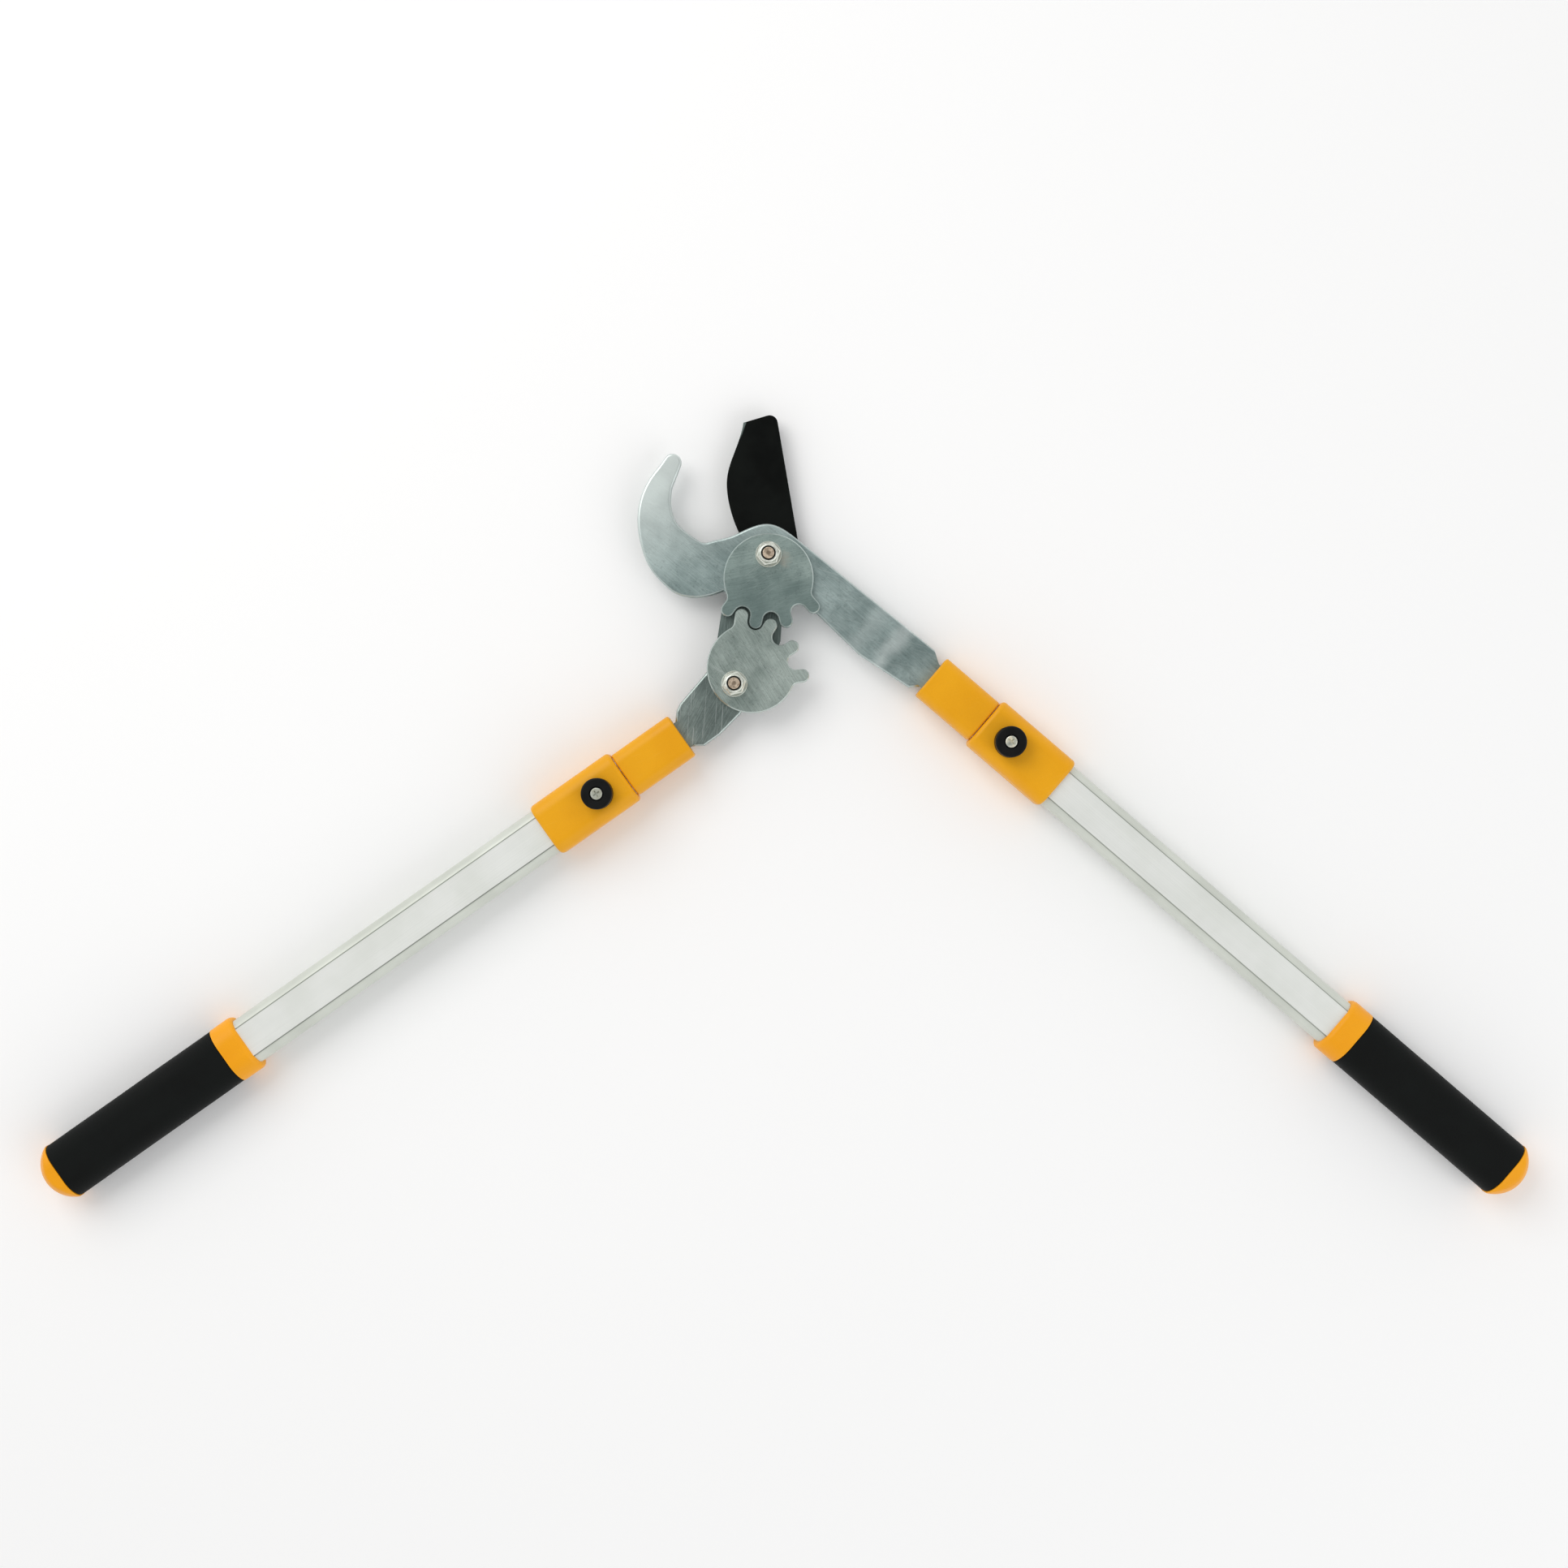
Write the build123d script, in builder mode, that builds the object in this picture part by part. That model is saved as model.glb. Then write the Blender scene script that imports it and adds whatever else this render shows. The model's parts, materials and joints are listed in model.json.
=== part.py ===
from build123d import *
import os
from math import cos, radians, sin

# Geared bypass loppers with telescopic handles, open, lying on the back of the pivot bolt's head.
# Millimetres. The origin is the main pivot's axis on the resting plane. +Z is up, the jaw points
# towards +Y, and the hook is on the -X side. The hook plate runs on as the right arm, the blade's
# tail carries the lower pivot, and the left arm turns about that pivot. One gear is fixed to each
# plate, so the blade closes half as far as the left arm swings.

os.makedirs("parts", exist_ok=True)

# ---------------------------------------------------------------- driving dimensions
HEAD_T = 5.4  # bolt head
WASHER_T = 1.6
WASHER_R = 8.0
PLAY = 0.1  # air between plates that turn on each other
BLADE_T = 5.0
PLATE_T = 5.0
LEFT_T = 5.1  # the left arm holds its gear just clear of the hook plate
GEAR_T = 4.5
SNUG = 0.02  # radial air of a fixed pin or bolt in its hole
RUN = 0.05  # radial air of a turning bush
BORED = 30.0  # longer than any wall that a hole or recess is cut through

PIVOT = (0.0, 0.0)
PIVOT_SPAN = 82.25
PIVOT_DIRECTION = 255.2  # from the main pivot to the lower one, degrees from +X
BOLT_R = 4.0  # M8
BUSH_R = 6.0
NUT_AF = 13.0
NUT_T = 8.0
NUT_HEX_T = 5.2
NUT_COLLAR_R = 5.8
NUT_MOUTH_R = 4.5
NUT_TURN = 12.0  # how far the nuts' flats are turned, degrees
INSERT_R = 5.1
INSERT_T = 1.8
INSERT_DEPTH = 0.8  # the nylon ring lies this far below the collar's rim
BOLT_PROUD = 1.0  # bolt end above the nut

TEETH_PER_TURN = 14
TOOTH_COUNT = 4
TOOTH_W = 8.1
ADDENDUM = 5.2
DEDENDUM = 5.8
DISC_R = 27.7
DISC_OFFSET = 14.6
UPPER_DISC_DIRECTION = 270.0
UPPER_FIRST_TOOTH = 233.5  # degrees about the main pivot
GEAR_NECK_R = 4.5  # fillet from the outer flanks to the disc
GEAR_RIM = 0.7
DOWEL_R = 2.5
DOWEL_ORBIT = 11.2
DOWEL_SPREAD = 62.0  # either side of the line from the pivot to the disc's centre
DOWEL_IN_PLATE = 3.5
DOWEL_IN_GEAR = 3.2

ARM_W = 18.0  # width of the tang inside the handle
TANG_END = 52.0
RIVETS_U = (18.0, 34.0)  # tang rivets, from the ferrule's mouth
RIVET_R = 2.5
RIVET_HEAD_R = 4.2
RIVET_HEAD_T = 1.4
RIVET_UP = 4.0  # blind end above the tang's middle
PLATE_EDGE = 1.5  # rounding of the plates' front edges

FERRULE_L = 42.6
FERRULE_SIZE = (29.5, 24.0)
FERRULE_R = 7.0
SLEEVE_START = 43.0
SLEEVE_L = 59.0
SLEEVE_SIZE = (34.9, 29.4)
SLEEVE_R = 8.5
SLEEVE_LIP = 4.0  # the outer tube stops this far inside the sleeve's mouth
FIXINGS_U = (56.0, 88.0)  # sleeve screws
FIXING_R = 1.6
FIXING_HEAD_R = 3.4
FIXING_HEAD_T = 1.8
FIXING_LOW = 0.3  # underside of the screw heads
TUBE_SIZE = (30.4, 22.0)
TUBE_PANEL = (19.4, 23.0)  # the raised flat along the tube's front and back
TUBE_R = 8.0
LINE_W = 0.7  # groove along each edge of the tube's panel
LINE_D = 1.1
BORE_SIZE = (27.0, 19.0)
BORE_R = 6.5
INNER_SIZE = (26.4, 18.4)
INNER_R = 6.2
INNER_WALL = 1.6
INNER_START = 10.0
INNER_END = 390.0
CORE_SIZE = (22.8, 12.8)  # moulded core that fills the inner tube round the tang
CORE_R = 4.8
CORE_DROP = 1.1  # the core sits this far towards the back, under the groove
GUIDE_PLUG = 12.0
GUIDE_HEAD = 8.0
GROOVE_W = 6.4
GROOVE_D = 2.0
LOCK_PITCH = 50.0
LOCK_HOLES = 6
COLLAR_START = 326.8
GRIP_START = 341.8
GRIP_END = 465.3
HANDLE_END = 478.0
GRIP_SIZE = (36.8, 29.0)
GRIP_R = 12.3
END_SIZE = (37.2, 29.4)  # collar and end cap
END_R = 12.5
DOME_R = 21.2
CAP_PLUG = 24.0

KNOB_U = 62.0  # distance of the lock from the ferrule's mouth
KNOB_R = 9.55
PIN_R = 2.4
PIN_FLOOR_GAP = 0.3
BOSS_R = 6.6
BOSS_H = 8.0  # above the sleeve
CHAMBER_R = 4.7
CHAMBER_ROOF = 2.0  # thickness of the boss above the spring
FLANGE_R = 4.2
FLANGE_T = 1.6
SPRING_WIRE = 0.45  # wire radius
SPRING_R = 3.6
SPRING_TURNS = 4
SPRING_AIR = 0.05
SCREW_R = 1.6
SCREW_GRIP = 5.0  # screw's depth in the pin
SCREW_HEAD_R = 3.65
SCREW_HEAD_T = 1.9
SCREW_RECESS_R = 4.5
CROSS_W = 0.9  # width of a cross recess's arms

NECK_U = -1.5  # a tang narrows this far before its ferrule's mouth
BLADE_CORNER = 5.0
WASHER_RIM = 0.3
HEAD_RIM = 0.5
THREAD_END = 0.9
NUT_RIM = 0.7
NUT_DOME = 1.1
RIVET_DOME = 1.1
FERRULE_RIM = 1.2
SLEEVE_RIM = 2.6
END_RIM = 3.0  # rounding of the collars' and end caps' outer ends
KNOB_RIM = 1.2
SCREW_DOME = 0.7
PIN_POINT = 0.5
EASY = 0.2  # air round a part in a plain clearance
LOOSE = 0.5  # air where one part passes well clear of another

# Each handle's ferrule mouth in plan, and the way it points, degrees from +X
HANDLES = {
    "right": ((100.2, -75.0), -40.65),
    "left": ((-53.5, -111.2), 215.15),
}


def polar(centre, radius, degrees):
    """The point at a radius and an angle about a centre."""
    return (
        centre[0] + radius * cos(radians(degrees)),
        centre[1] + radius * sin(radians(degrees)),
    )


LOWER = polar(PIVOT, PIVOT_SPAN, PIVOT_DIRECTION)

# ---------------------------------------------------------------- heights of the stack
BLADE_Z = HEAD_T + WASHER_T + PLAY
PLATE_Z = BLADE_Z + BLADE_T + PLAY
GEAR_Z = PLATE_Z + PLATE_T
LOWER_GEAR_Z = PLATE_Z + LEFT_T
STACK_Z = GEAR_Z + GEAR_T
HANDLE_Z = PLATE_Z + PLATE_T / 2
DOWEL_LOW = GEAR_Z - DOWEL_IN_PLATE
DOWEL_HIGH = GEAR_Z + DOWEL_IN_GEAR
TUBE_TOP = HANDLE_Z + TUBE_PANEL[1] / 2
BORE_FLOOR = HANDLE_Z - BORE_SIZE[1] / 2
GROOVE_FLOOR = HANDLE_Z + INNER_SIZE[1] / 2 - GROOVE_D
SLEEVE_TOP = HANDLE_Z + SLEEVE_SIZE[1] / 2
BOSS_TOP = SLEEVE_TOP + BOSS_H
CHAMBER_TOP = BOSS_TOP - CHAMBER_ROOF
FLANGE_LOW = TUBE_TOP + EASY
FLANGE_HIGH = FLANGE_LOW + FLANGE_T
KNOB_LOW = SLEEVE_TOP + LOOSE
KNOB_ROOF = BOSS_TOP + 0.6
KNOB_TOP = KNOB_ROOF + 3.0
SCREW_SEAT = KNOB_TOP - 1.5
SCREW_END = KNOB_ROOF - SCREW_GRIP

# ---------------------------------------------------------------- gears
PITCH = 360 / TEETH_PER_TURN
TIP_R = PIVOT_SPAN / 2 + ADDENDUM
ROOT_R = PIVOT_SPAN / 2 - DEDENDUM
# The gap between two teeth is one arc that touches both flanks and the root circle.
HALF_SINE = sin(radians(PITCH / 2))
GAP_R = (ROOT_R * HALF_SINE - TOOTH_W / 2) / (1 - HALF_SINE)
# In mesh: a lower gap faces the upper tooth that is nearest the line of centres.
MESH_ANGLE = UPPER_FIRST_TOOTH + PITCH - PIVOT_DIRECTION
LOWER_FIRST_TOOTH = PIVOT_DIRECTION - 180 - MESH_ANGLE - 2.5 * PITCH
LOWER_DISC_DIRECTION = LOWER_FIRST_TOOTH + 1.5 * PITCH - 3.0


def shifted(point, *moves):
    """A point moved by each (distance, degrees) in turn."""
    for distance, degrees in moves:
        point = polar(point, distance, degrees)
    return point


def neck_centre(centre, disc_centre, angle, side):
    """Centre of the fillet between a tooth's outer flank and the disc; side is -1 or 1."""
    offset = TOOTH_W / 2 + GEAR_NECK_R
    x, y = shifted(centre, (offset, angle + 90 * side))
    dx = x - disc_centre[0]
    dy = y - disc_centre[1]
    along = dx * cos(radians(angle)) + dy * sin(radians(angle))
    clear = (DISC_R + GEAR_NECK_R) ** 2
    reach = (along**2 - dx**2 - dy**2 + clear) ** 0.5 - along
    return polar((x, y), reach, angle)


def disc_touch(disc_centre, neck):
    """Where a neck's fillet meets the disc."""
    dx = neck[0] - disc_centre[0]
    dy = neck[1] - disc_centre[1]
    share = DISC_R / (DISC_R + GEAR_NECK_R)
    return (disc_centre[0] + dx * share, disc_centre[1] + dy * share)


def neck_arc(start, end, neck):
    """The concave fillet between the disc and a tooth's outer flank."""
    way = Vector((start[0] + end[0]) / 2 - neck[0], (start[1] + end[1]) / 2 - neck[1])
    middle = Vector(*neck) + way.normalized() * GEAR_NECK_R
    ThreePointArc(start, middle, end)


def gear_outline(centre, disc_direction, first_tooth):
    """Outline of one gear: an eccentric disc with four round-ended teeth."""
    disc_centre = polar(centre, DISC_OFFSET, disc_direction)
    half = TOOTH_W / 2
    angles = [first_tooth + step * PITCH for step in range(TOOTH_COUNT)]
    first_neck = neck_centre(centre, disc_centre, angles[0], -1)
    last_neck = neck_centre(centre, disc_centre, angles[-1], 1)
    first_touch = disc_touch(disc_centre, first_neck)
    last_touch = disc_touch(disc_centre, last_neck)
    start = polar(first_neck, GEAR_NECK_R, angles[0] + 90)
    finish = polar(last_neck, GEAR_NECK_R, angles[-1] - 90)
    neck_arc(first_touch, start, first_neck)
    for angle in angles:
        shoulder = TIP_R - half
        low = shifted(centre, (shoulder, angle), (half, angle - 90))
        high = shifted(centre, (shoulder, angle), (half, angle + 90))
        Line(start, low)
        ThreePointArc(low, polar(centre, TIP_R, angle), high)
        if angle != angles[-1]:
            middle = angle + PITCH / 2
            arc_centre = polar(centre, ROOT_R + GAP_R, middle)
            near = polar(arc_centre, GAP_R, angle - 90)
            start = polar(arc_centre, GAP_R, angle + PITCH + 90)
            Line(high, near)
            ThreePointArc(near, polar(centre, ROOT_R, middle), start)
    Line(high, finish)
    neck_arc(finish, last_touch, last_neck)
    far_side = polar(disc_centre, DISC_R, disc_direction + 180)
    ThreePointArc(last_touch, far_side, first_touch)


def dowel_points(centre, disc_direction):
    """Two dowels, either side of the line from the pivot to the disc's centre."""
    spread = (-DOWEL_SPREAD, DOWEL_SPREAD)
    return [polar(centre, DOWEL_ORBIT, disc_direction + side) for side in spread]


PIVOT_SETS = {
    "upper": (PIVOT, UPPER_DISC_DIRECTION, UPPER_FIRST_TOOTH, BOLT_R + SNUG, GEAR_Z),
    "lower": (LOWER, LOWER_DISC_DIRECTION, LOWER_FIRST_TOOTH, BUSH_R + RUN, LOWER_GEAR_Z),
}

for place, (centre, disc_direction, first_tooth, hole_r, gear_z) in PIVOT_SETS.items():
    with BuildPart() as gear:
        with BuildSketch(Plane.XY.offset(gear_z)):
            with BuildLine():
                gear_outline(centre, disc_direction, first_tooth)
            make_face()
        extrude(amount=GEAR_T)
        chamfer(gear.faces().sort_by(Axis.Z)[-1].outer_wire().edges(), GEAR_RIM)
        with BuildSketch(Plane.XY.offset(gear_z)):
            with Locations(centre):
                Circle(hole_r)
        extrude(amount=GEAR_T, mode=Mode.SUBTRACT)
        with BuildSketch(Plane.XY.offset(gear_z)):
            with Locations(*dowel_points(centre, disc_direction)):
                Circle(DOWEL_R + SNUG)
        extrude(amount=DOWEL_HIGH - gear_z, mode=Mode.SUBTRACT)
    gear.part.label = f"{place}_gear"
    export_step(gear.part, f"parts/{place}_gear.step")

    with BuildPart() as dowels:
        with BuildSketch(Plane.XY.offset(DOWEL_LOW)):
            with Locations(*dowel_points(centre, disc_direction)):
                Circle(DOWEL_R)
        extrude(amount=DOWEL_HIGH - DOWEL_LOW)
    dowels.part.label = f"{place}_gear_dowels"
    export_step(dowels.part, f"parts/{place}_gear_dowels.step")


def rivet_points(side):
    """The two rivets that hold an arm's tang in its handle, in plan."""
    mouth, direction = HANDLES[side]
    return [polar(mouth, along, direction) for along in RIVETS_U]


def tang_corners(side, end):
    """The two corners of a tang's rectangle at a distance past the mouth: left, then right."""
    mouth, direction = HANDLES[side]
    middle = polar(mouth, end, direction)
    return (
        polar(middle, ARM_W / 2, direction + 90),
        polar(middle, ARM_W / 2, direction - 90),
    )


# ---------------------------------------------------------------- hook plate and right arm
HOOK_BELLY = [(-65.2, 58.3), (-73.0, 48.0), (-80.9, 22.0), (-76.5, -1.0), (-61.0, -21.0)]
HOOK_BACK = [(-61.0, -21.0), (-45.0, -26.0), (-27.5, -22.0)]
HOOK_EDGE = [(17.6, 10.0), (-1.5, 19.5), (-12.0, 16.9), (-24.5, 11.4), (-35.0, 8.8), (-52.5, 15.6)]
HOOK_THROAT = [(-52.5, 15.6), (-60.0, 30.0), (-59.6, 40.5), (-55.0, 52.8)]
HOOK_TIP = [(-52.5, 59.75), (-61.0, 64.2)]
HOOK_TIP_R = 5.3
SHOULDER = (102.2, -58.5)
HUB_R = 33.0

with BuildPart() as hook_plate:
    with BuildSketch(Plane.XY.offset(PLATE_Z)):
        with BuildLine():
            left_end, right_end = tang_corners("right", TANG_END)
            left_neck, right_neck = tang_corners("right", NECK_U)
            outer = Spline(*HOOK_BELLY, tangents=[(-0.574, -0.819), (0.76, -0.65)])
            back = Spline(*HOOK_BACK, tangents=[(0.76, -0.65), (0.93, 0.37)])
            hub = ThreePointArc(
                back @ 1, polar(PIVOT, HUB_R, 262), polar(PIVOT, HUB_R, 300)
            )
            Polyline(
                hub @ 1,
                (26.5, -33.0),
                (55.5, -61.0),
                (86.5, -81.5),
                right_neck,
                right_end,
                left_end,
                left_neck,
                SHOULDER,
            )
            ridge = Line(SHOULDER, HOOK_EDGE[0])
            Spline(*HOOK_EDGE, tangents=[ridge % 1, (-0.78, 0.62)])
            throat = Spline(*HOOK_THROAT, tangents=[(-0.78, 0.62), (0.342, 0.94)])
            Polyline(throat @ 1, *HOOK_TIP, outer @ 0)
        face = make_face()
        corners = face.vertices().filter_by_position(Axis.X, -61.5, -52)
        fillet(corners.filter_by_position(Axis.Y, 59, 65), HOOK_TIP_R)
    extrude(amount=PLATE_T)
    rim = hook_plate.faces().sort_by(Axis.Z)[-1].outer_wire().edges()
    seen = rim.filter_by(GeomType.CIRCLE, reverse=True)
    fillet(seen.filter_by_position(Axis.X, -90, 103), PLATE_EDGE)
    with BuildSketch(Plane.XY.offset(PLATE_Z)):
        with Locations(PIVOT):
            Circle(BOLT_R + SNUG)
        with Locations(*rivet_points("right")):
            Circle(RIVET_R + SNUG)
    extrude(amount=PLATE_T, mode=Mode.SUBTRACT)
    with BuildSketch(Plane.XY.offset(DOWEL_LOW)):
        with Locations(*dowel_points(PIVOT, UPPER_DISC_DIRECTION)):
            Circle(DOWEL_R + SNUG)
    extrude(amount=PLATE_T, mode=Mode.SUBTRACT)
hook_plate.part.label = "hook_plate"
export_step(hook_plate.part, "parts/hook_plate.step")

# ---------------------------------------------------------------- left arm
LOBE_R = 16.4
with BuildPart() as left_arm:
    with BuildSketch(Plane.XY.offset(PLATE_Z)):
        with BuildLine():
            left_end, right_end = tang_corners("left", TANG_END)
            left_neck, right_neck = tang_corners("left", NECK_U)
            lobe = ThreePointArc(
                polar(LOWER, LOBE_R, 110),
                polar(LOWER, LOBE_R, 20),
                polar(LOWER, LOBE_R, -70),
            )
            Polyline(
                lobe @ 1,
                (-17.2, -97.6),
                (-30.0, -110.6),
                (-39.5, -117.4),
                left_neck,
                left_end,
                right_end,
                right_neck,
                (-56.8, -96.0),
                (-54.8, -91.6),
                (-38.6, -72.6),
                (-34.0, -66.5),
                lobe @ 0,
            )
        make_face()
    extrude(amount=LEFT_T)
    rim = left_arm.faces().sort_by(Axis.Z)[-1].outer_wire().edges()
    seen = rim.filter_by(GeomType.CIRCLE, reverse=True)
    fillet(seen.filter_by_position(Axis.X, -58, 0), PLATE_EDGE)
    with BuildSketch(Plane.XY.offset(PLATE_Z)):
        with Locations(LOWER):
            Circle(BUSH_R + RUN)
        with Locations(*rivet_points("left")):
            Circle(RIVET_R + SNUG)
    extrude(amount=LEFT_T, mode=Mode.SUBTRACT)
    with BuildSketch(Plane.XY.offset(DOWEL_LOW)):
        with Locations(*dowel_points(LOWER, LOWER_DISC_DIRECTION)):
            Circle(DOWEL_R + SNUG)
    extrude(amount=LEFT_T, mode=Mode.SUBTRACT)
left_arm.part.label = "left_arm"
export_step(left_arm.part, "parts/left_arm.step")

# ---------------------------------------------------------------- blade and its tail
BLADE_TIP = (-15.6, 82.4)
CUTTING_EDGE = [BLADE_TIP, (-20.4, 66.0), (-25.6, 49.0), (-25.0, 35.0), (-17.2, 12.0)]
TAIL_R = 17.5
BEVEL_W = 7.0
BEVEL_T = 4.2

with BuildPart() as blade:
    with BuildSketch(Plane.XY.offset(BLADE_Z)):
        with BuildLine():
            edge = Spline(*CUTTING_EDGE)
            lobe = ThreePointArc(
                polar(LOWER, TAIL_R, PIVOT_DIRECTION - 90),
                polar(LOWER, TAIL_R, PIVOT_DIRECTION),
                polar(LOWER, TAIL_R, PIVOT_DIRECTION + 90),
            )
            Polyline(
                edge @ 1,
                (-18.0, -12.0),
                (-24.5, -25.5),
                (-28.6, -31.0),
                (-31.6, -50.5),
                lobe @ 0,
            )
            Polyline(
                lobe @ 1,
                (7.4, -52.0),
                (8.0, -42.0),
                (18.0, -14.0),
                (19.4, 2.0),
                (4.6, 88.4),
                BLADE_TIP,
            )
        face = make_face()
        tip = face.vertices().sort_by(Axis.Y)[-1]
        fillet(tip, BLADE_CORNER)
    extrude(amount=BLADE_T)
    with BuildSketch(Plane.XY.offset(BLADE_Z)):
        with Locations(PIVOT):
            Circle(BUSH_R + RUN)
        with Locations(LOWER):
            Circle(BOLT_R + SNUG)
    extrude(amount=BLADE_T, mode=Mode.SUBTRACT)
    under = blade.faces().sort_by(Axis.Z)[0]
    ground = under.edges().filter_by(GeomType.BSPLINE)
    chamfer(ground, BEVEL_W, BEVEL_T, reference=under)
blade.part.label = "blade"
export_step(blade.part, "parts/blade.step")


# ---------------------------------------------------------------- pivot hardware
def washer(name, centre, height):
    """A plain M8 washer."""
    with BuildPart() as ring:
        with BuildSketch(Plane.XY.offset(height)):
            with Locations(centre):
                Circle(WASHER_R)
                Circle(BOLT_R + EASY, mode=Mode.SUBTRACT)
        extrude(amount=WASHER_T)
        chamfer(ring.faces().sort_by(Axis.Z)[-1].outer_wire().edges(), WASHER_RIM)
    ring.part.label = name
    export_step(ring.part, f"parts/{name}.step")


def bolt(name, centre, head_z, top_z):
    """An M8 hexagon bolt, its head underneath and the end of its thread on top."""
    with BuildPart() as screw:
        with BuildSketch(Plane.XY.offset(head_z)):
            with Locations(centre):
                RegularPolygon(NUT_AF / 2, 6, major_radius=False)
        extrude(amount=HEAD_T)
        chamfer(screw.faces().sort_by(Axis.Z)[0].outer_wire().edges(), HEAD_RIM)
        with BuildSketch(Plane.XY.offset(head_z + HEAD_T)):
            with Locations(centre):
                Circle(BOLT_R)
        extrude(amount=top_z - head_z - HEAD_T)
        chamfer(screw.faces().sort_by(Axis.Z)[-1].edges(), THREAD_END)
    screw.part.label = name
    export_step(screw.part, f"parts/{name}.step")


def bush(name, centre, low, high):
    """A plain steel sleeve that the nut clamps, and that the moving plate turns on."""
    with BuildPart() as sleeve:
        with BuildSketch(Plane.XY.offset(low)):
            with Locations(centre):
                Circle(BUSH_R)
                Circle(BOLT_R + SNUG, mode=Mode.SUBTRACT)
        extrude(amount=high - low)
    sleeve.part.label = name
    export_step(sleeve.part, f"parts/{name}.step")


def lock_nut(prefix, centre, height):
    """A nyloc nut: hexagon, round collar, and the nylon ring held in the collar."""
    insert_z = height + NUT_T - INSERT_T - INSERT_DEPTH
    with BuildPart() as nut:
        with BuildSketch(Plane.XY.offset(height)):
            with Locations(centre):
                RegularPolygon(NUT_AF / 2, 6, major_radius=False, rotation=NUT_TURN)
        extrude(amount=NUT_HEX_T)
        chamfer(nut.faces().sort_by(Axis.Z)[-1].outer_wire().edges(), NUT_RIM)
        with BuildSketch(Plane.XY.offset(height + NUT_HEX_T)):
            with Locations(centre):
                Circle(NUT_COLLAR_R)
        extrude(amount=NUT_T - NUT_HEX_T)
        fillet(nut.faces().sort_by(Axis.Z)[-1].outer_wire().edges(), NUT_DOME)
        with BuildSketch(Plane.XY.offset(height)):
            with Locations(centre):
                Circle(BOLT_R + SNUG)
        extrude(amount=NUT_T, mode=Mode.SUBTRACT)
        with BuildSketch(Plane.XY.offset(insert_z)):
            with Locations(centre):
                Circle(INSERT_R)
        extrude(amount=INSERT_T, mode=Mode.SUBTRACT)
        with BuildSketch(Plane.XY.offset(insert_z + INSERT_T)):
            with Locations(centre):
                Circle(NUT_MOUTH_R)
        extrude(amount=NUT_T, mode=Mode.SUBTRACT)
    nut.part.label = f"{prefix}_nut"
    export_step(nut.part, f"parts/{prefix}_nut.step")

    with BuildPart() as ring:
        with BuildSketch(Plane.XY.offset(insert_z)):
            with Locations(centre):
                Circle(INSERT_R - SNUG)
                Circle(BOLT_R + SNUG, mode=Mode.SUBTRACT)
        extrude(amount=INSERT_T)
    ring.part.label = f"{prefix}_nut_insert"
    export_step(ring.part, f"parts/{prefix}_nut_insert.step")


# Main pivot: the nut clamps washer, bush, hook plate, gear and washer, and the blade turns free.
washer("pivot_back_washer", PIVOT, HEAD_T)
bush("pivot_bush", PIVOT, HEAD_T + WASHER_T, PLATE_Z)
washer("pivot_front_washer", PIVOT, STACK_Z)
lock_nut("pivot", PIVOT, STACK_Z + WASHER_T)
bolt("pivot_bolt", PIVOT, 0.0, STACK_Z + WASHER_T + NUT_T + BOLT_PROUD)

# Lower pivot: the nut clamps the blade's tail, bush and washer, and the left arm turns free.
LOWER_TOP = LOWER_GEAR_Z + GEAR_T + PLAY
bush("lower_bush", LOWER, BLADE_Z + BLADE_T, LOWER_TOP)
washer("lower_washer", LOWER, LOWER_TOP)
lock_nut("lower", LOWER, LOWER_TOP + WASHER_T)
bolt("lower_bolt", LOWER, BLADE_Z - HEAD_T, LOWER_TOP + WASHER_T + NUT_T + BOLT_PROUD)


# ---------------------------------------------------------------- handles
def section(side, along):
    """The cross-section plane at a distance from the ferrule's mouth: x across, y up."""
    mouth, direction = HANDLES[side]
    x, y = polar(mouth, along, direction)
    way = radians(direction)
    return Plane(
        origin=(x, y, HANDLE_Z), x_dir=(-sin(way), cos(way), 0), z_dir=(cos(way), sin(way), 0)
    )


def level(side, along, height):
    """A plane facing up at a distance along the handle, x along it."""
    mouth, direction = HANDLES[side]
    x, y = polar(mouth, along, direction)
    way = radians(direction)
    return Plane(origin=(x, y, height), x_dir=(cos(way), sin(way), 0), z_dir=(0, 0, 1))


def tube_outline(mode=Mode.ADD):
    """Outer tube: rounded, with a raised flat panel along the front and the back."""
    RectangleRounded(*TUBE_SIZE, TUBE_R, mode=mode)
    Rectangle(*TUBE_PANEL, mode=mode)


def inner_outline(mode=Mode.ADD):
    """Inner tube's outside, without its groove."""
    RectangleRounded(*INNER_SIZE, INNER_R, mode=mode)


def core_outline(mode=Mode.ADD):
    """What fits inside the inner tube below its groove."""
    with Locations((0, -CORE_DROP)):
        RectangleRounded(*CORE_SIZE, CORE_R, mode=mode)


def hole_row(radius, distances):
    """Round holes or pins at distances along the handle, on a level plane."""
    with Locations(*[(distance, 0) for distance in distances]):
        Circle(radius)


def save(piece, name):
    """Labels a finished piece and writes it."""
    piece.part.label = name
    export_step(piece.part, f"parts/{name}.step")


ARM_T = {"right": PLATE_T, "left": LEFT_T}


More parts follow.
